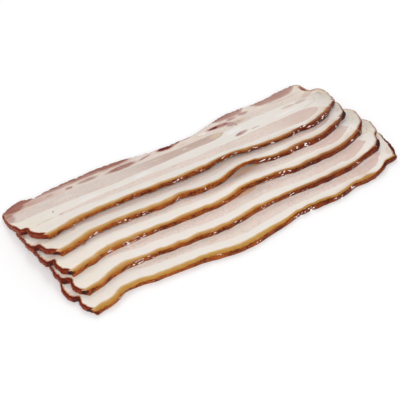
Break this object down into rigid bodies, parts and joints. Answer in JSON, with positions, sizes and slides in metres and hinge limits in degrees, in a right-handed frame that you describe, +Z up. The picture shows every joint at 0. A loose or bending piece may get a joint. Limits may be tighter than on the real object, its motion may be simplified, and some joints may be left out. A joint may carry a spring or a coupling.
{
  "type": "sliced smoked streaky bacon",
  "caption": "Thick-cut smoked streaky bacon with the rind on, raw slices fanned over each other lengthwise with their rind edges stepped.",
  "frame": {"origin": "middle of the bounding box, on the surface that the slices lie on", "axes": "+X along the slices, from their corner end to their pointed end; +Y from the rind edges to the lean far edge of the top slice; +Z up"},
  "size_m": [0.2652, 0.119, 0.0205],
  "materials": {
    "rasher_1_meat": "moist",
    "rasher_2_meat": "moist",
    "rasher_3_meat": "moist",
    "rasher_4_meat": "moist",
    "rasher_5_meat": "moist"
  },
  "bodies": {
    "root": {"rasher_1": "rasher_1_meat", "rasher_2": "rasher_2_meat", "rasher_3": "rasher_3_meat", "rasher_4": "rasher_4_meat", "rasher_5": "rasher_5_meat"}
  },
  "joints": []
}
